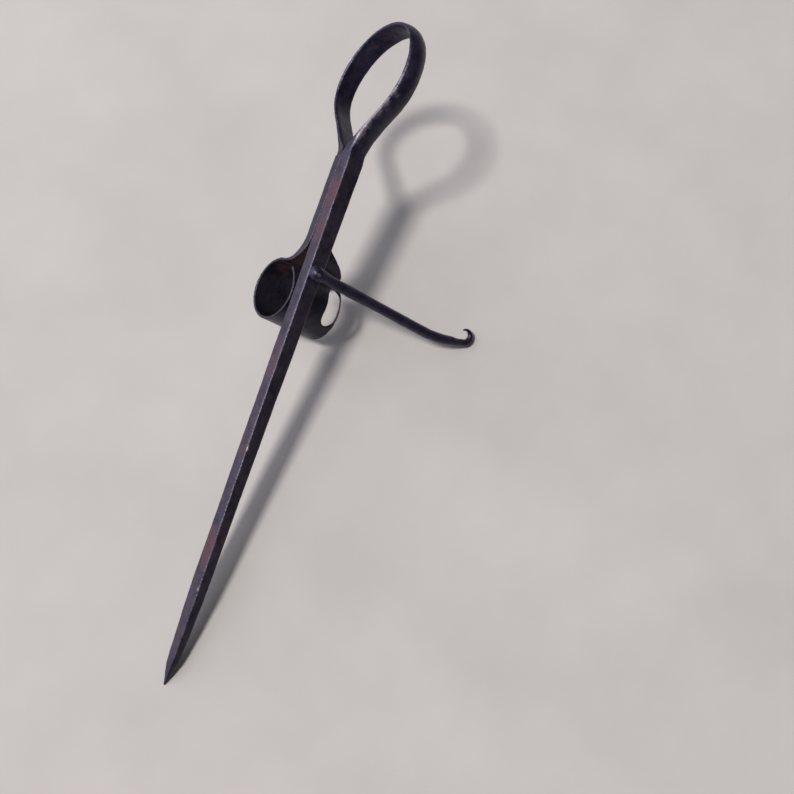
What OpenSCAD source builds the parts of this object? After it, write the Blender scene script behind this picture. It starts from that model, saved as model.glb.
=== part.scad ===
// Forged iron candle holder for a mine: a long spike to drive into timber,
// a curled thimble that grips the candle, a side hook and a loop handle.
// Every piece is drawn in the bar's own axes, and the whole is then laid on
// its three resting points. In the bar's axes X runs from the point of the
// spike to the loop, Z is the candle's axis, and Y is the thimble's side.

/* [Spike bar] */
// Length of the bar, from the point to the neck of the loop
bar_len = 184; // [165:1:220]
// Width of the bar across its thimble and hook sides
bar_w = 5.2; // [4:0.1:7]
// Width of the bar where the point begins, which spreads a little under the hammer
bar_w_low = 5.7; // [4:0.1:7]
// Depth of the bar along the candle's axis, at the neck
bar_d = 6.8; // [5:0.1:9]
// Depth of the bar where the point begins
bar_d_low = 3.9; // [3:0.1:6]
// Distance from the point over which the bar spreads in width
spread_len = 110; // [60:1:120]
// Length of the drawn point
point_len = 30; // [12:1:50]
// Fullness of the point: 1 is a straight taper, less is a rounder one
point_fullness = 0.3; // [0.25:0.05:1]
// Worn flat on each corner of the bar
bar_chamfer = 0.45; // [0.2:0.05:0.8]
// Sideways bow of the bar between its point and the thimble, towards the thimble
bar_bow = 0.5; // [0:0.05:0.8]

/* [Candle thimble] */
// Bore of the thimble, for a candle 20 mm thick
bore_d = 20; // [16:0.5:24]
// Thickness of the curled leaf
leaf_t = 1; // [0.8:0.1:1.8]
// Height of the thimble along the candle's axis
thimble_h = 22; // [16:0.5:30]
// Distance from the point of the spike to the candle's axis
thimble_x = 135.7; // [120:0.5:140]
// Lean of the thimble, which sets its foot towards the point of the spike
thimble_tilt = 2.4; // [0:0.2:4]
// Gap between the back of the curl and the bar
curl_gap = 0.2; // [0.1:0.05:0.5]
// Angle left open between the curl's free end and its root
mouth_angle = 36; // [20:1:60]
// Thickness of the strap that is welded along the bar
strap_t = 3.2; // [2:0.1:3.4]
// Depth of the strap along the candle's axis
strap_d = 6; // [4:0.1:6.6]
// Inner radius of the bend from the strap into the curl
bend_r = 11; // [9:0.1:14]
// Length over which the strap widens to the height of the thimble
widen_len = 13; // [8:0.5:14]
// Height of the slot low in the thimble's wall, beside the bar
slot_h = 5.6; // [4:0.1:7]
// Height of the rim left below the slot
slot_rim = 0.5; // [0.4:0.1:2]
// Length of the slot across the wall
slot_w = 13.2; // [8:0.2:14]
// Angle from the bar's direction to the middle of the slot
slot_angle = 82; // [75:1:95]

/* [Loop handle] */
// Half length of the loop's round end, inside
loop_a = 17.9; // [14:0.1:22]
// Half width of the loop's round end, inside
loop_b = 14.8; // [12:0.1:18]
// Distance from the neck to the middle of the round end
loop_reach = 28.3; // [26:0.1:34]
// Sideways offset of the middle of the round end, towards the thimble
loop_offset = 1.8; // [-2:0.1:3]
// Lean of the round end
loop_lean = -26; // [-35:1:0]
// Distance from the neck to the crotch where the two legs part
crotch_x = 2.9; // [2:0.1:4]
// Inner radius of the bends where the legs part
crotch_r = 7; // [5:0.5:9]
// Width of the loop's strip along the candle's axis
strip_w = 7.5; // [6:0.1:9]
// Thickness of the strip at its edges
strip_edge = 1.4; // [1.1:0.1:2]
// Thickness of the strip at the crown of its half-round back
strip_crown = 2.4; // [2.1:0.1:3.2]
// Twist of the strip round the far end of the loop
strip_twist = 20; // [0:1:30]
// Seam between the two legs at the neck
seam = 0.12; // [0.05:0.01:0.3]

/* [Side hook] */
// Distance from the point of the spike to the hook's root
hook_x = 143.9; // [140:0.1:150]
// Diameter of the hook's rod near its root
hook_d = 3.8; // [3:0.1:5]
// Diameter of the rod near its tip
hook_tip_d = 2.4; // [1.6:0.1:3]
// Diameter of the swelling where the root is welded on
root_d = 5.1; // [4.4:0.1:7]
// Length over which the swelling fades into the rod
root_fade = 7; // [4:0.5:12]
// Length of the hook's straight shank
shank_len = 47.5; // [40:1:60]
// Tilt of the shank towards the point of the spike
shank_tilt = 4.4; // [0:0.1:8]
// Lean of the shank away from the bar's side
shank_lean = 8; // [2:0.5:12]
// Radius of the slow bend beyond the shank
sweep_r = 53; // [40:1:70]
// Angle of the slow bend
sweep_angle = 22; // [10:1:30]
// Radius of the curl at the tip
tip_r = 2.3; // [2:0.1:5]
// Angle of the curl at the tip
tip_angle = 200; // [120:5:200]

/* [Hidden] */
iron = [0.16, 0.13, 0.17];
iron_worn = [0.30, 0.25, 0.28];
iron_rust = [0.24, 0.15, 0.14];
near_y = bar_bow + bar_w / 2;
far_y = bar_bow - bar_w / 2;
bore_r = bore_d / 2;
curl_r = bore_r + leaf_t;
curl_y = near_y + curl_gap + curl_r;
top_z = strap_d / 2;
bottom_z = top_z - thimble_h;
bend_x = thimble_x + bore_r + bend_r;
cut = 1;
lean = tan(thimble_tilt);

// Helpers: ease runs smoothly from 0 to 1, mix goes from a to b
function clamp01(t) = min(1, max(0, t));
function ease(t) = (1 - cos(180 * clamp01(t))) / 2;
function mix(a, b, t) = a + (b - a) * t;
function unit(v) = v / norm(v);

// Joins rings of points, each with the same count, into one closed solid
module skin(rings) {
    n = len(rings[0]);
    last = (len(rings) - 1) * n;
    sides = [for (r = [0:len(rings) - 2], i = [0:n - 1])
        let (a = r * n + i, b = r * n + (i + 1) % n)
        each [[a, a + n, b], [b, a + n, b + n]]];
    near_cap = [for (i = [0:n - 1]) i];
    far_cap = [for (i = [n - 1:-1:0]) last + i];
    polyhedron([for (r = rings) each r], concat([near_cap], sides, [far_cap]));
}

// Section of forged bar or strip, as [distance out from the inner face, height]:
// flat inside, edges of thickness edge, and a back that rises to crown
function strip_section(half_h, edge, crown, chamfer, steps = 8) = concat(
    [[0, half_h - chamfer], [chamfer, half_h], [edge - chamfer, half_h]],
    [for (k = [0:steps])
        let (t = 1 - 2 * k / steps)
        [edge + (crown - edge) * (1 - t * t), t * (half_h - chamfer)]],
    [[edge - chamfer, -half_h], [chamfer, -half_h], [0, chamfer - half_h]]);

// The bar's width, depth and point at a distance x from the tip
function width_at(x) = mix(bar_w_low, bar_w, ease(x / spread_len));
function depth_at(x) = mix(bar_d_low, bar_d, clamp01((x - point_len) / (bar_len - point_len)));
function point_scale(x) = pow(clamp01(x / point_len), point_fullness);
tip_start = 0.02;
point_steps = 9;
bar_steps = 14;
bar_stations = concat(
    [for (k = [0:point_steps]) point_len * mix(tip_start, 1, pow(k / point_steps, 2))],
    [for (k = [1:bar_steps]) mix(point_len, bar_len, k / bar_steps)]);
bow_len = 90;
function bow_at(x) = bar_bow * ease(x / bow_len);
function bar_ring(x) =
    let (s = point_scale(x), w = width_at(x) * s, d = depth_at(x) * s)
    [for (p = strip_section(d / 2, w, w, bar_chamfer * s, 2)) [x, bow_at(x) + w / 2 - p[0], p[1]]];

module spike_bar() {
    color(iron_worn) laid() skin([for (x = bar_stations) bar_ring(x)]);
}

// The loop's round end is an ellipse. Each leg runs straight from the crotch
// to the point where it touches the ellipse, as [x, y] in the bar's axes
loop_mid = [bar_len + loop_reach, loop_offset];
crotch = [bar_len + crotch_x, near_y];
function turned(p, a) = [p[0] * cos(a) - p[1] * sin(a), p[0] * sin(a) + p[1] * cos(a)];
function loop_point(a) = loop_mid + turned([loop_a * cos(a), loop_b * sin(a)], loop_lean);
function loop_heading(a) = unit(turned([-loop_a * sin(a), loop_b * cos(a)], loop_lean));
crotch_seen = turned(crotch - loop_mid, -loop_lean);
crotch_scaled = [crotch_seen[0] / loop_a, crotch_seen[1] / loop_b];
touch_mid = atan2(crotch_scaled[1], crotch_scaled[0]);
touch_half = acos(1 / norm(crotch_scaled));
touch_hook_side = loop_point(touch_mid + touch_half);
touch_thimble_side = loop_point(touch_mid - touch_half);

// A leg from the neck: a bend at the crotch, then a straight run. side is -1
// on the hook's side and 1 on the thimble's side. Each point is [x, y, heading]
leg_bend_steps = 7;
function leg_angle(touch) = atan2(touch[1] - crotch[1], touch[0] - crotch[0]);
function leg_points(touch, side) =
    let (
        angle = abs(leg_angle(touch)),
        tangent = crotch_r * tan(angle / 2),
        start = [crotch[0] - tangent, crotch[1] + (side > 0 ? seam : 0)],
        out = [cos(angle), side * sin(angle)],
        bent = [start[0] + crotch_r * sin(angle), start[1] + side * crotch_r * (1 - cos(angle))])
    concat(
        [[bar_len, start[1], 0]],
        [for (k = [0:leg_bend_steps])
            let (a = angle * k / leg_bend_steps)
            [start[0] + crotch_r * sin(a), start[1] + side * crotch_r * (1 - cos(a)), side * a]],
        [for (t = [0.33, 0.66]) [mix(bent[0], touch[0], t), mix(bent[1], touch[1], t), side * angle]]);

loop_steps = 34;
round_from = touch_mid + touch_half - 360;
round_to = touch_mid - touch_half;
twist_from = 0.3;
twist_to = 0.95;
function twist_at(t) = strip_twist * ease(1 - abs(2 * t - twist_from - twist_to) / (twist_to - twist_from));
hook_leg = leg_points(touch_hook_side, -1);
thimble_leg = leg_points(touch_thimble_side, 1);
round_end = [for (k = [0:loop_steps])
    let (a = mix(round_from, round_to, k / loop_steps), h = loop_heading(a), p = loop_point(a))
    [p[0], p[1], atan2(h[1], h[0]), twist_at(k / loop_steps)]];
function flipped(leg) = [for (k = [len(leg) - 1:-1:0]) [leg[k][0], leg[k][1], leg[k][2] + 180]];
loop_path = concat(hook_leg, round_end, flipped(thimble_leg));

// The strip thins from the bar's section to a half-round, and flattens again
// to the strap's section on the thimble's side
thin_len = 12;
function from_neck(p) = max(0, p[0] - bar_len);
function strip_ring(p, on_hook_side) =
    let (
        t = ease(from_neck(p) / thin_len),
        edge0 = on_hook_side ? bar_w : strap_t - seam,
        half0 = (on_hook_side ? bar_d : strap_d) / 2,
        edge = mix(edge0, strip_edge, t),
        crown = mix(edge0, strip_crown, t),
        half_h = mix(half0, strip_w / 2, t),
        twist = len(p) > 3 ? p[3] : 0)
    [for (q = strip_section(half_h, edge, crown, bar_chamfer))
        let (away = q[0] * cos(twist) + (q[1] - half_h) * sin(twist))
        [p[0] + away * sin(p[2]), p[1] - away * cos(p[2]),
            half_h + (q[1] - half_h) * cos(twist) - q[0] * sin(twist)]];

module loop_handle() {
    halfway = len(hook_leg) + loop_steps / 2;
    color(iron) laid() skin([for (k = [0:len(loop_path) - 1]) strip_ring(loop_path[k], k < halfway)]);
}

// Plan of the leaf's root: the strap along the bar, thinning round the bend.
// Its end runs on a little inside the curl's wall, so that the two are one
bend_steps = 12;
lap = 0.05;
lap_len = 0.6;
strap_plan = concat(
    [[bar_len + cut, near_y]],
    [for (k = [0:bend_steps])
        let (a = 90 * k / bend_steps)
        [bend_x - (bend_r - lap) * sin(a), curl_y - (curl_y - near_y) * cos(a)]],
    [[bend_x - bend_r + lap, curl_y + lap_len], [bend_x - bend_r + leaf_t - lap, curl_y + lap_len]],
    [for (k = [bend_steps:-1:0])
        let (a = 90 * k / bend_steps)
        [bend_x - (bend_r - leaf_t + lap) * sin(a), curl_y - (curl_y - near_y - strap_t) * cos(a)]],
    [[bar_len + cut, near_y + strap_t]]);

// Side view of what is cut away below the strap, as [x, z]
shoulder_steps = 12;
shoulder_x = thimble_x + bore_r;
foot_shift = thimble_h * lean;
shoulder_view = concat(
    [for (k = [0:shoulder_steps])
        let (t = k / shoulder_steps)
        [shoulder_x + (widen_len + foot_shift) * t - foot_shift, mix(bottom_z, top_z - strap_d, ease(t))]],
    [[bar_len + cut, top_z - strap_d], [bar_len + cut, bottom_z - cut], [shoulder_x - foot_shift, bottom_z - cut]]);

// A wedge about the candle's axis, between two angles under 180 degrees apart
module wedge(from, to, reach) {
    mid = (from + to) / 2;
    far = reach / cos((to - from) / 4);
    polygon([[0, 0], reach * [cos(from), sin(from)], far * [cos(mid), sin(mid)], reach * [cos(to), sin(to)]]);
}

// Moves what is drawn about the candle's axis, with the thimble's mouth at 0
module at_candle_axis() {
    translate([thimble_x, curl_y, top_z]) rotate([0, thimble_tilt, 0]) children();
}

// Moves the foot of what is drawn along with the leaning thimble
module leaned() {
    multmatrix([[1, 0, lean, -lean * top_z], [0, 1, 0, 0], [0, 0, 1, 0], [0, 0, 0, 1]]) children();
}

// A slot with round ends, cut straight out from the candle's axis
slot_steps = 8;
module thimble_slot() {
    end_r = slot_h / 2;
    end_y = slot_w / 2 - end_r;
    slot_z = slot_rim + end_r - thimble_h;
    view = [for (side = [1, -1], k = [0:slot_steps])
        let (a = 90 - 180 * k / slot_steps)
        side * [end_r * sin(a), end_y + end_r * cos(a)]];
    rotate([0, 0, -slot_angle]) translate([0, 0, slot_z]) rotate([0, 90, 0])
        linear_extrude(curl_r + cut) polygon(view);
}

rim_slack = cut + curl_r * lean;
module thimble_wall() {
    difference() {
        translate([0, 0, -thimble_h - rim_slack])
            cylinder(h = thimble_h + 2 * rim_slack, r = curl_r, $fn = 96);
        translate([0, 0, -thimble_h - 2 * rim_slack]) linear_extrude(thimble_h + 4 * rim_slack)
            wedge(-mouth_angle, 0, curl_r + 2 * cut);
    }
}

// Takes off what stands above the mouth or below the foot of the thimble
trim_w = 4 * curl_r;
module trims() {
    translate([thimble_x - trim_w / 2, curl_y - trim_w / 2, top_z]) cube([trim_w, trim_w, 4 * rim_slack]);
    translate([thimble_x - trim_w / 2, curl_y - trim_w / 2, bottom_z - 4 * rim_slack])
        cube([trim_w, trim_w, 4 * rim_slack]);
}

module candle_thimble() {
    color(iron_rust) laid() difference() {
        union() {
            leaned() translate([0, 0, bottom_z]) linear_extrude(thimble_h) polygon(strap_plan);
            at_candle_axis() thimble_wall();
        }
        at_candle_axis() translate([0, 0, -thimble_h - 2 * rim_slack])
            cylinder(h = thimble_h + 4 * rim_slack, r = bore_r, $fn = 96);
        at_candle_axis() thimble_slot();
        translate([0, curl_y, 0]) rotate([90, 0, 0]) linear_extrude(curl_y) polygon(shoulder_view);
        translate([bar_len, 0, -bar_d]) cube([2 * cut, 2 * curl_y, 2 * bar_d]);
        trims();
    }
}

// Path of the hook's rod in the bar's axes, as [x, z, heading] before it leans
rod_r = hook_d / 2;
root_z = bar_d / 2 - root_d / 2 + 1.2;
function arc_end(p, r, a) = [
    p[0] + r * (cos(p[2]) - cos(p[2] + a)),
    p[1] - r * (sin(p[2] + a) - sin(p[2])),
    p[2] + a];
function line_end(p, len) = [p[0] + len * sin(p[2]), p[1] - len * cos(p[2]), p[2]];
shank_start = [hook_x, root_z, -shank_tilt];
shank_end = line_end(shank_start, shank_len);
sweep_end = arc_end(shank_end, sweep_r, sweep_angle);
shank_steps = 12;
sweep_steps = 6;
tip_steps = 14;
hook_path = concat(
    [for (k = [0:shank_steps]) line_end(shank_start, shank_len * pow(k / shank_steps, 1.5))],
    [for (k = [1:sweep_steps]) arc_end(shank_end, sweep_r, sweep_angle * k / sweep_steps)],
    [for (k = [1:tip_steps]) arc_end(sweep_end, tip_r, tip_angle * k / tip_steps)]);
hook_count = len(hook_path);
function rod_centre(p) = [p[0], far_y - rod_r - (root_z - p[1]) * tan(shank_lean), p[1]];
taper_from = shank_steps;
function rod_radius(k) =
    let (fade = ease((root_z - hook_path[k][1]) / root_fade))
    k > taper_from ? mix(rod_r, hook_tip_d / 2, (k - taper_from) / (hook_count - 1 - taper_from))
        : mix(root_d / 2, rod_r, fade);
rod_sides = 16;
function rod_ring(c, heading, r) = [for (i = [0:rod_sides - 1])
    let (a = -360 * i / rod_sides)
    c + r * [cos(a) * cos(heading), sin(a), cos(a) * sin(heading)]];
// A round cap, as rings that shrink along the heading; way is -1 at the root and 1 at the tip
cap_steps = 4;
function cap_ring(k, way, t) =
    let (p = hook_path[k], r = rod_radius(k), along = [sin(p[2]), 0, -cos(p[2])])
    rod_ring(rod_centre(p) + way * r * sin(t) * along, p[2], r * cos(t));
cap_angles = [for (k = [1:cap_steps]) 80 * k / cap_steps];
root_cap = [for (k = [cap_steps - 1:-1:0]) cap_ring(0, -1, cap_angles[k])];
tip_cap = [for (a = cap_angles) cap_ring(hook_count - 1, 1, a)];
rod_rings = [for (k = [0:hook_count - 1]) rod_ring(rod_centre(hook_path[k]), hook_path[k][2], rod_radius(k))];

module side_hook() {
    color(iron) laid() difference() {
        skin(concat(root_cap, rod_rings, tip_cap));
        translate([hook_x - root_d, far_y, -bar_d]) cube([2 * root_d, root_d, 2 * bar_d]);
    }
}

// Resting pose: the part stands on the tip of the spike, the end of the hook
// and the thimble's lower rim. Each support is the lowest point for a floor
// with the upward direction up, and up follows from the three supports
function lowest(points, up) =
    let (heights = [for (p = points) p * up], low = min(heights))
    points[search(low, heights)[0]];
function tip_support(up) = lowest([for (k = [0:point_steps]) each bar_ring(bar_stations[k])], up);
function hook_support(up) = lowest([for (r = rod_rings) each r], up);
function rim_support(up) =
    let (down = [-up[0], -up[1]])
    [thimble_x - foot_shift, curl_y, bottom_z] + curl_r * [down[0], down[1], 0] / norm(down);
function floor_up(up, rounds) = rounds == 0 ? up :
    let (a = tip_support(up), b = hook_support(up), c = rim_support(up), n = unit(cross(b - a, c - a)))
    floor_up(n[2] < 0 ? -n : n, rounds - 1);
rest_up = floor_up(unit([0.26, -0.56, 0.78]), 8);
rest_ahead = unit([1, 0, 0] - rest_up[0] * rest_up);
rest_left = cross(rest_up, rest_ahead);
socket_top = [thimble_x, curl_y, top_z];
function seen(p) = [p * rest_ahead, p * rest_left, p * rest_up];
origin_shift = seen(socket_top);

module laid() {
    multmatrix([
        [rest_ahead[0], rest_ahead[1], rest_ahead[2], -origin_shift[0]],
        [rest_left[0], rest_left[1], rest_left[2], -origin_shift[1]],
        [rest_up[0], rest_up[1], rest_up[2], -origin_shift[2]],
        [0, 0, 0, 1]]) children();
}

spike_bar();
loop_handle();
candle_thimble();
side_hook();
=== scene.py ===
"""Looks of the forged iron candle holder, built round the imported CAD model."""
import math

import bpy
import numpy as np
from mathutils import Matrix, Vector, noise


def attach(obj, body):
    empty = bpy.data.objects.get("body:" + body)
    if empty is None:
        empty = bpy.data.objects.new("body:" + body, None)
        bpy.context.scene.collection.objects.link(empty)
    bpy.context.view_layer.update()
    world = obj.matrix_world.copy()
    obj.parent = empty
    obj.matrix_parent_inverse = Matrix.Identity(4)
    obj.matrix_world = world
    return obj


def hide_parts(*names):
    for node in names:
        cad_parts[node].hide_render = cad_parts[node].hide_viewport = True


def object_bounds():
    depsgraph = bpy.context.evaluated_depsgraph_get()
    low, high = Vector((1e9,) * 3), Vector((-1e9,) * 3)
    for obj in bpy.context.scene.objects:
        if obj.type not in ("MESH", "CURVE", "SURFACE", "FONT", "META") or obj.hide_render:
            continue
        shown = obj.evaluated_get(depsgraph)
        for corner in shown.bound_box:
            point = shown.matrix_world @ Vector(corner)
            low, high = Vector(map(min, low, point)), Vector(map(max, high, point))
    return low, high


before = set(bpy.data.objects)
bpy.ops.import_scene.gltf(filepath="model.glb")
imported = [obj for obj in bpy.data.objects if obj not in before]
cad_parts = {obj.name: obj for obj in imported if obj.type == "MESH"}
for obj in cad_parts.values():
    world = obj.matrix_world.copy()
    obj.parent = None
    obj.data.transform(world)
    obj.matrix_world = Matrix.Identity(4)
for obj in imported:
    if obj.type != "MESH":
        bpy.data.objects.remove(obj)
CAD_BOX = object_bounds()
MM = 0.001

# The bar's own axes, seen in the row frame: along the bar, towards the thimble, along the candle.
# A point p of the bar's axes, in mm, lies at (p.AHEAD, p.LEFT, p.UP) - SOCKET in the row frame.
AHEAD = np.array([0.974504, 0.171919, -0.14417])
LEFT = np.array([0.0, 0.642561, 0.766235])
UP = np.array([0.224368, -0.746699, 0.626179])
SOCKET = np.array([134.266, 11.4873, 21.6475])
ROW_FROM_BAR = np.array([AHEAD, LEFT, UP])
AHEAD_ROW = ROW_FROM_BAR[:, 0]
BAR_END = 184.0
SINK_DEPTH = 0.9
REST_Z = CAD_BOX[0].z / MM

# The relief of a forged face, in mm: how wide each kind of mark is, and how deep
FLAT_SIZE, FLAT_DEPTH, FLAT_MEAN = 5.5, 0.16, 0.3
SWELL_SIZE, SWELL_DEPTH = 14.0, 0.14
SCALE_SIZE, SCALE_DEPTH = 1.3, 0.035
PIT_SIZE, PIT_DEPTH, PIT_LEVEL = 1.7, 0.16, 0.42

# The lumps of the weld at the hook's root
WELD_SIZE, WELD_SEED = 1.6, 41

# The bore of the thimble in the bar's axes, in mm, taken a little wide
BORE_X, BORE_Y, BORE_REACH = 135.3, 14.3, 10.4


def row_point(p):
    """A point of the bar's axes, in mm, as a point of the row frame, in metres."""
    return Vector((ROW_FROM_BAR @ np.array(p, float) - SOCKET) * MM)


def row_direction(p):
    return Vector(ROW_FROM_BAR @ np.array(p, float)).normalized()


def bar_points(points):
    """Points of the row frame, in mm, in the bar's axes."""
    return (points + SOCKET) @ ROW_FROM_BAR


def row_points(points):
    """Points of the bar's axes in the row frame, both in mm."""
    return points @ ROW_FROM_BAR.T - SOCKET


# Forged surfaces: each CAD solid is remeshed finely, softened at its edges and hammered

def fine_copy(node, voxel, sunk=None):
    """A fine even mesh of a CAD node's solid, in mm.

    Where sunk is given, the points up to that length along the bar are let into the bar.
    """
    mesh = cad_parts[node].data.copy()
    mesh.transform(Matrix.Scale(1 / MM, 4))
    if sunk is not None:
        points = read("co", 3, mesh.vertices)
        end = bar_points(points)[:, 0] < sunk
        points[end] -= SINK_DEPTH * AHEAD_ROW
        mesh.vertices.foreach_set("co", points.ravel())
    draft = bpy.data.objects.new(node + "_draft", mesh)
    bpy.context.scene.collection.objects.link(draft)
    weld = draft.modifiers.new("weld", "WELD")
    weld.merge_threshold = 0.001
    remesh = draft.modifiers.new("remesh", "REMESH")
    remesh.mode = "VOXEL"
    remesh.voxel_size = voxel
    fine = bpy.data.meshes.new_from_object(draft.evaluated_get(bpy.context.evaluated_depsgraph_get()))
    bpy.data.objects.remove(draft)
    bpy.data.meshes.remove(mesh)
    return fine


def read(name, width, source, kind=np.float64):
    """One array with a value of the given width for each item of a mesh's collection."""
    values = np.empty(len(source) * width, kind)
    source.foreach_get(name, values)
    return values.reshape(-1, width) if width > 1 else values


class Neighbours:
    """Means over each point's neighbours along the edges."""

    def __init__(self, mesh):
        edges = read("vertices", 2, mesh.edges, np.int32)
        self.a, self.b = edges[:, 0], edges[:, 1]
        self.size = len(mesh.vertices)
        count = np.bincount(self.a, minlength=self.size) + np.bincount(self.b, minlength=self.size)
        self.count = np.maximum(count, 1)

    def mean(self, values):
        flat = values.reshape(self.size, -1)
        total = np.zeros_like(flat)
        for k in range(flat.shape[1]):
            total[:, k] = (np.bincount(self.a, flat[self.b, k], self.size)
                           + np.bincount(self.b, flat[self.a, k], self.size))
        return (total / self.count[:, None]).reshape(values.shape)


def smooth(values, near, rounds, share=0.5):
    for _ in range(rounds):
        values = values + share * (near.mean(values) - values)
    return values


def normals(mesh, points):
    mesh.vertices.foreach_set("co", points.ravel())
    mesh.update()
    return read("vector", 3, mesh.vertex_normals)


def field(points, size, seed):
    """Smooth noise between -1 and 1, with bumps about size mm across."""
    shift = Vector((seed * 7.31, seed * 3.17, seed * 5.77))
    return np.array([noise.noise(Vector(p) / size + shift) for p in points])


def near_spot(points, centre, reach):
    """1 at a spot in the bar's axes, fading to 0 at the given reach."""
    away = np.linalg.norm((points - np.array(centre)) / np.array(reach), axis=1)
    return np.clip(1 - away, 0, 1)


def near_line(points, start, end, reach):
    """1 along a line between two points of the bar's axes, fading to 0 at the given reach."""
    start = np.array(start, float)
    way = np.array(end, float) - start
    share = np.clip((points - start) @ way / (way @ way), 0, 1)
    away = np.linalg.norm(points - start - share[:, None] * way, axis=1) / reach
    return np.clip(1 - away, 0, 1)


def hammered(points, amount, seed):
    """Depth of the hammer's flats, the scale and the pits, in mm."""
    flats = np.abs(field(points, FLAT_SIZE, seed)) - FLAT_MEAN
    swell = field(points, SWELL_SIZE, seed + 1)
    scale = field(points, SCALE_SIZE, seed + 2)
    pits = np.clip(field(points, PIT_SIZE, seed + 3) - PIT_LEVEL, 0, 1)
    relief = FLAT_DEPTH * flats + SWELL_DEPTH * swell + SCALE_DEPTH * scale
    return amount * relief - PIT_DEPTH * pits


def edge_wear(points, normal, near, gain):
    """1 on sharp outward edges, 0 on flats and in corners."""
    bend = np.einsum("ij,ij->i", points - near.mean(points), normal)
    return np.clip(smooth(bend, near, 2) * gain, 0, 1)


def store(mesh, name, values):
    attribute = mesh.attributes.new(name, "FLOAT", "POINT")
    attribute.data.foreach_set("value", values.astype(np.float32))


def forged(node, voxel, rounds, amount, seed, rust, wear_gain,
           form=None, shape=None, rub_and_glint=None, sunk=None):
    """A hammered piece that stands for a CAD node, with rust, edge-rubbing and painted highlights stored on
    its points.

    form moves the points of the bar's axes, shape gives a depth along the normals, rust gives how rusty a
    point is, and the bright-spot function adds painted highlights, with some rubbing, as bright metal.
    """
    mesh = fine_copy(node, voxel, sunk)
    near = Neighbours(mesh)
    points = smooth(read("co", 3, mesh.vertices), near, rounds)
    if form is not None:
        points = row_points(form(bar_points(points)))
    where = bar_points(points)
    normal = normals(mesh, points)
    depth = hammered(where, amount, seed)
    if shape is not None:
        depth = depth + shape(where, normal @ ROW_FROM_BAR)
    points = points + normal * depth[:, None]
    points[:, 2] = np.maximum(points[:, 2], REST_Z)
    normal = normals(mesh, points)
    wear_and_glint = edge_wear(points, normal, near, wear_gain)
    # Bright spots are added here: painted highlights, on the loop's crown over real rubbing.
    if rub_and_glint is not None:
        wear_and_glint = np.clip(wear_and_glint + rub_and_glint(where), 0, 1)
    store(mesh, "wear_and_glint", wear_and_glint)
    store(mesh, "rust", np.clip(rust(where, normal @ ROW_FROM_BAR), 0, 1))
    mesh.transform(Matrix.Scale(MM, 4))
    mesh.shade_smooth()
    mesh.materials.clear()
    piece = bpy.data.objects.new(node + "_forged", mesh)
    bpy.context.scene.collection.objects.link(piece)
    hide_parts(node)
    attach(piece, "root")
    return piece


# Places of rust, in the bar's axes: the normals say which way a face looks

def bar_rust(p, n):
    patches = (0.75 * near_spot(p, (172, 0.5, 3), (9, 6, 4))
               + 0.6 * near_spot(p, (159, 0.5, 3), (9, 6, 4))
               + 0.4 * near_spot(p, (112, 0, 2.8), (18, 6, 4))
               + 0.35 * near_spot(p, (84, 0, 2.6), (12, 6, 4))
               + 0.75 * near_spot(p, (51, 0, 2.4), (7, 6, 3))
               + 0.6 * near_spot(p, (43, 0, 2.2), (6, 6, 3)))
    speck = 1.5 * near_spot(p, (51.3, -2.3, -1.2), (1.9, 1.6, 1.4))
    top = np.clip(n[:, 2], 0, 1)
    return patches * (0.35 + 0.65 * top) + speck + 0.16 + 0.06 * top


def loop_rust(p, n):
    neck = near_spot(p, (188, 3, 3), (10, 8, 5))
    far_end = near_spot(p, (226, 6, 0), (16, 14, 6))
    return 0.14 + 0.35 * neck + 0.35 * far_end


def thimble_rust(p, n):
    bore = np.hypot(p[:, 0] - BORE_X, p[:, 1] - BORE_Y) < BORE_REACH
    inside = near_spot(p, (141, 12, -3), (14, 13, 17)) * bore
    shoulder = near_spot(p, (150, 9, -2), (13, 9, 10)) * (n[:, 1] < 0)
    low_rim = p[:, 2] < -16.5
    return 0.12 + 1.2 * inside + 0.9 * shoulder + 0.35 * low_rim


def hook_rust(p, n):
    towards_tip = np.clip((-p[:, 2] - 45) / 18, 0, 1)
    return 0.14 + 0.3 * towards_tip


# Changes of form too small for the CAD, as a depth in mm along the normals

def drawn_point(p):
    """The spike's last stretch drawn out sharp towards the spot where it meets the floor."""
    reach = 7.5
    gain_in_length = 1.8
    spot = np.array([1.05, -0.6])
    near_end = np.clip(1 - p[:, 0] / reach, 0, 1)
    size = 1 - 0.78 * near_end ** 1.8
    drawn = p.copy()
    drawn[:, 1:] = spot + (p[:, 1:] - spot) * size[:, None]
    drawn[:, 0] -= gain_in_length * near_end ** 2
    return drawn


def hook_shape(p, n):
    """The hook's tip drawn out to a point, and its root's head beaten down beside the bar."""
    tip = near_spot(p, (146.6, -13.2, -63.3), (5.5, 5.5, 5.5)) ** 0.7
    head = near_spot(p, (143.6, -3.4, 5.2), (4.5, 4.5, 4.0))
    bead = near_spot(p, (143.9, -3.4, 0.5), (5.5, 3.5, 5.5)) * field(p, WELD_SIZE, WELD_SEED)
    return -0.95 * tip - 1.3 * head + 0.5 * bead


# Places painted bright: highlights drawn as bright metal, on the loop's crown over real rubbing

# Painted glints: bright metal spots on the bar's corner where highlights fall.
def bar_glints(p):
    low = 0.9 * near_spot(p, (33.5, -2.0, 2.2), (1.0, 0.7, 0.7))
    middle = 0.8 * near_spot(p, (82.5, -2.1, 2.2), (1.3, 0.7, 0.8))
    return low + middle


def loop_rubbed_sheen(p):
    """The crown that the hand rubs, from the neck up the loop's near side, painted bright as its highlight.
    """
    neck = 0.62 * near_line(p, (190, -2.4, 3.5), (199.5, -8.2, 3.4), 3.4)
    side = 0.42 * near_line(p, (202, -11.0, 2.9), (211, -15.2, 1.6), 3.4)
    return neck + side


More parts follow.
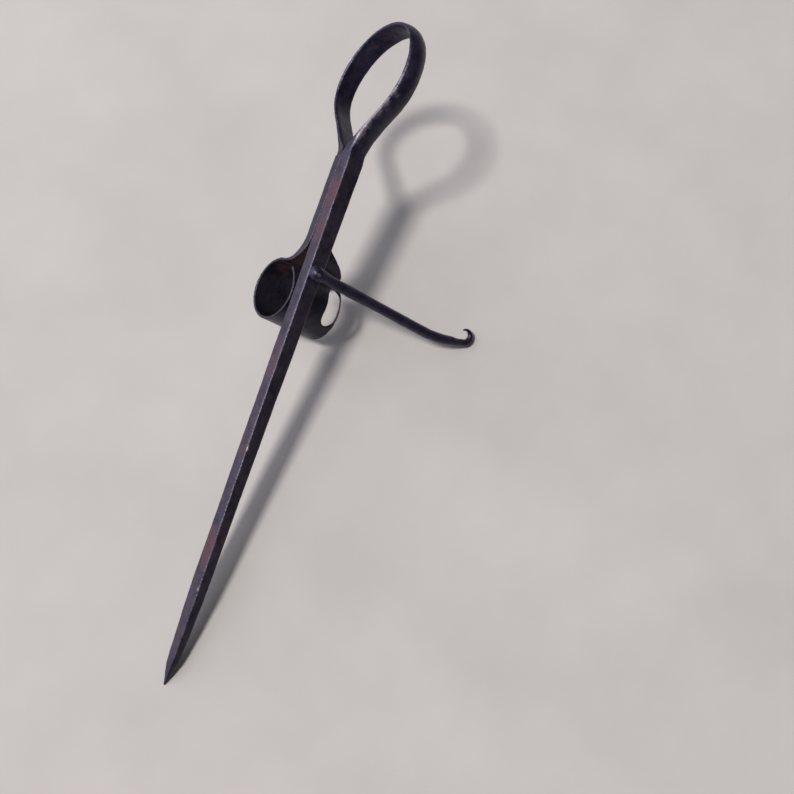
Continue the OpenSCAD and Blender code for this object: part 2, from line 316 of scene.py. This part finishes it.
# Painted highlights: bright metal spots on the root's head and on the rod's crown.
def hook_glints(p):
    root = 0.8 * near_spot(p, (143.4, -3.2, 3.4), (1.5, 1.1, 1.3))
    crown = 0.9 * near_spot(p, (143.6, -6.4, 1.9), (1.2, 0.9, 1.6))
    return root + crown


# Materials

BROAD_MM, MOTTLE_MM, GRAIN_MM = 13.0, 2.6, 0.55
BUMP_M = 0.0004
CLOTH_MM = 45.0


class Nodes:
    """A material's node tree, with one short call for each kind of node."""

    def __init__(self, name):
        self.material = bpy.data.materials.new(name)
        self.material.use_nodes = True
        self.tree = self.material.node_tree
        self.tree.nodes.clear()

    def add(self, kind, **inputs):
        node = self.tree.nodes.new("ShaderNode" + kind)
        for key, value in inputs.items():
            self.put(node, key.replace("_", " "), value)
        return node

    def put(self, node, key, value):
        socket = node.inputs[int(key)] if key.isdigit() else node.inputs[key]
        if isinstance(value, bpy.types.NodeSocket):
            self.tree.links.new(value, socket)
        else:
            socket.default_value = value

    def noise(self, coords, size_mm, detail=4.0, rough=0.55):
        node = self.add("TexNoise", Vector=coords, Scale=1 / (size_mm * MM), Detail=detail, Roughness=rough)
        return node.outputs["Fac"]

    def ramp(self, value, *stops):
        node = self.add("ValToRGB", Fac=value)
        elements = node.color_ramp.elements
        while len(elements) < len(stops):
            elements.new(0.5)
        for element, (place, colour) in zip(elements, stops):
            element.position = place
            element.color = (*colour, 1)
        return node.outputs["Color"]

    def level(self, value, low, high):
        """0 below low, 1 above high."""
        node = self.add("MapRange", Value=value)
        node.interpolation_type = "SMOOTHSTEP"
        node.inputs["From Min"].default_value = low
        node.inputs["From Max"].default_value = high
        return node.outputs["Result"]

    def maths(self, operation, a, b):
        node = self.add("Math")
        node.operation = operation
        self.put(node, "0", a)
        self.put(node, "1", b)
        return node.outputs[0]

    def mixed(self, factor, a, b):
        node = self.add("Mix")
        node.data_type = "RGBA"
        self.put(node, "0", factor)
        self.put(node, "6", a if isinstance(a, bpy.types.NodeSocket) else (*a, 1))
        self.put(node, "7", b if isinstance(b, bpy.types.NodeSocket) else (*b, 1))
        return node.outputs[2]

    def stored(self, name):
        node = self.add("Attribute")
        node.attribute_name = name
        return node.outputs["Fac"]


def forged_iron(name, dark, light, rust_dark, rust_light, bare_metal_and_glint):
    """Blue-black patina with brown mottling, rust where it is stored, and bright metal on sharp edges and
    on painted highlights.
    """
    n = Nodes(name)
    coords = n.add("TexCoord").outputs["Object"]
    broad = n.noise(coords, BROAD_MM, 3.0)
    mottle = n.noise(coords, MOTTLE_MM, 6.0, 0.62)
    grain = n.noise(coords, GRAIN_MM, 5.0, 0.6)
    uneven = n.maths("SUBTRACT", mottle, 0.5)

    middle = tuple((a + b) / 2 for a, b in zip(dark, light))
    clouds = n.maths("ADD", n.maths("MULTIPLY", broad, 0.45), n.maths("MULTIPLY", mottle, 0.55))
    patina = n.ramp(clouds, (0.36, dark), (0.5, middle), (0.66, light))

    rust_amount = n.level(n.maths("ADD", n.stored("rust"), uneven), 0.3, 0.85)
    rust_colour = n.ramp(grain, (0.3, rust_dark), (0.7, rust_light))
    colour = n.mixed(n.maths("MULTIPLY", rust_amount, 0.9), patina, rust_colour)

    # The stored attribute turns to bright metal: edge-rubbing, and the painted highlights stored with it.
    ragged = n.maths("MULTIPLY", uneven, 1.2)
    rubbed_and_glint = n.level(n.maths("ADD", n.stored("wear_and_glint"), ragged), 0.35, 0.95)
    rubbed_and_glint = n.maths("MULTIPLY", rubbed_and_glint, 0.75)
    colour = n.mixed(rubbed_and_glint, colour, bare_metal_and_glint)
    flecks = n.level(grain, 0.66, 0.78)
    colour = n.mixed(n.maths("MULTIPLY", flecks, 0.35), colour, bare_metal_and_glint)

    roughness = n.maths("ADD", n.maths("MULTIPLY", mottle, 0.3), 0.2)
    roughness = n.maths("ADD", roughness, n.maths("MULTIPLY", rust_amount, 0.28))
    metal = n.maths("ADD", 0.15, n.maths("MULTIPLY", rubbed_and_glint, 0.6))
    height = n.maths("ADD", n.maths("MULTIPLY", mottle, 0.6), n.maths("MULTIPLY", grain, 0.4))
    bump = n.add("Bump", Strength=0.6, Distance=BUMP_M, Height=height)
    shader = n.add("BsdfPrincipled", Base_Color=colour, Roughness=roughness, Metallic=metal,
                   Normal=bump.outputs["Normal"])
    shader.inputs["Specular IOR Level"].default_value = 0.55
    shader.inputs["Specular Tint"].default_value = (0.78, 0.76, 1.0, 1)
    n.add("OutputMaterial", Surface=shader.outputs[0])
    return n.material


def plain_floor():
    n = Nodes("pale_floor")
    coords = n.add("TexCoord").outputs["Object"]
    shades = n.noise(coords, CLOTH_MM, 5.0)
    colour = n.ramp(shades, (0.3, (0.44, 0.415, 0.40)), (0.7, (0.485, 0.46, 0.445)))
    shader = n.add("BsdfPrincipled", Base_Color=colour, Roughness=0.95)
    n.add("OutputMaterial", Surface=shader.outputs[0])
    return n.material


# The bright metal colour serves for edge-rubbing, flecks and painted highlights.
IRON = dict(rust_dark=(0.030, 0.010, 0.011), rust_light=(0.098, 0.042, 0.042), bare_metal_and_glint=(0.27, 0.24, 0.26))
BAR_IRON = forged_iron("patina_bar", (0.005, 0.004, 0.012), (0.040, 0.028, 0.042), **IRON)
DARK_IRON = forged_iron("patina_dark", (0.003, 0.0026, 0.010), (0.022, 0.017, 0.036), **IRON)
LEAF_IRON = forged_iron("patina_leaf", (0.003, 0.0025, 0.007), (0.022, 0.017, 0.027), **IRON)

PIECES = (
    ("spike_bar", "iron_worn", BAR_IRON,
     dict(voxel=0.31, rounds=2, amount=0.6, seed=1, wear_gain=14, rust=bar_rust, form=drawn_point,
          rub_and_glint=bar_glints)),
    ("loop_handle", "iron_dark", DARK_IRON,
     dict(voxel=0.31, rounds=9, amount=0.8, seed=11, wear_gain=18, rust=loop_rust, rub_and_glint=loop_rubbed_sheen,
          sunk=BAR_END + 0.2)),
    ("candle_thimble", "iron_rust", LEAF_IRON,
     dict(voxel=0.265, rounds=2, amount=0.55, seed=21, wear_gain=14, rust=thimble_rust)),
    ("side_hook", "iron_dark", DARK_IRON,
     dict(voxel=0.26, rounds=4, amount=0.8, seed=31, wear_gain=10, rust=hook_rust, shape=hook_shape,
          rub_and_glint=hook_glints)),
)
for node, slot, material, how in PIECES:
    piece = forged(node, **how)
    piece.data.materials.append(material)

# Floor, light and camera

FLOOR_HALF = 12.0
CORNERS = ((-1, -1), (1, -1), (1, 1), (-1, 1))
floor_mesh = bpy.data.meshes.new("floor")
floor_points = [(x * FLOOR_HALF, y * FLOOR_HALF, CAD_BOX[0].z) for x, y in CORNERS]
floor_mesh.from_pydata(floor_points, [], [(0, 1, 2, 3)])
floor_mesh.materials.append(plain_floor())
floor = bpy.data.objects.new("floor", floor_mesh)
bpy.context.scene.collection.objects.link(floor)

# The camera in the bar's axes: its place in mm, and its right, down and forward directions
CAMERA_AT = (113.4, -243.6, 175.0)
CAMERA_RIGHT = (0.338, -0.648, -0.683)
CAMERA_DOWN = (-0.941, -0.229, -0.249)
FOCAL_PX = 898.0
PHOTO_PX = 794.0

camera_data = bpy.data.cameras.new("camera")
camera_data.lens = camera_data.sensor_width * FOCAL_PX / PHOTO_PX
camera_data.clip_start = 0.01
camera = bpy.data.objects.new("camera", camera_data)
right = row_direction(CAMERA_RIGHT)
down = row_direction(CAMERA_DOWN)
forward = right.cross(down).normalized()
down = forward.cross(right)
turn = Matrix((right, -down, -forward)).transposed()
camera.matrix_world = Matrix.Translation(row_point(CAMERA_AT)) @ turn.to_4x4()
bpy.context.scene.collection.objects.link(camera)
bpy.context.scene.camera = camera


def lamp(kind, name, towards, power, colour):
    """A lamp that lights the object from the direction towards, in the row frame."""
    data = bpy.data.lights.new(name, kind)
    data.energy = power
    data.color = colour
    lamp_object = bpy.data.objects.new(name, data)
    way = Vector(towards).normalized()
    lamp_object.location = way * LAMP_DISTANCE
    lamp_object.rotation_mode = "QUATERNION"
    lamp_object.rotation_quaternion = way.to_track_quat("Z", "Y")
    bpy.context.scene.collection.objects.link(lamp_object)
    return data


def studio_world(light, backdrop):
    """A weak even light on everything, before a pale backdrop."""
    world = bpy.data.worlds.new("studio")
    world.use_nodes = True
    background = world.node_tree.nodes["Background"]
    background.inputs["Color"].default_value = (0.86, 0.88, 0.92, 1)
    seen = world.node_tree.nodes.new("ShaderNodeLightPath")
    strength = world.node_tree.nodes.new("ShaderNodeMapRange")
    strength.inputs["To Min"].default_value = light
    strength.inputs["To Max"].default_value = backdrop
    world.node_tree.links.new(seen.outputs["Is Camera Ray"], strength.inputs["Value"])
    world.node_tree.links.new(strength.outputs["Result"], background.inputs["Strength"])
    bpy.context.scene.world = world


LAMP_DISTANCE = 1.2
key = lamp("SUN", "key", (-0.158, 0.474, 0.867), 3.0, (1.0, 0.97, 0.94))
key.angle = math.radians(10.5)
window = lamp("AREA", "window", (-0.05, 0.93, 0.45), 16.0, (0.88, 0.88, 1.0))
window.shape = "RECTANGLE"
window.size = 1.0
window.size_y = 1.5
studio_world(light=0.12, backdrop=0.62)
bpy.context.scene.view_settings.view_transform = "Standard"
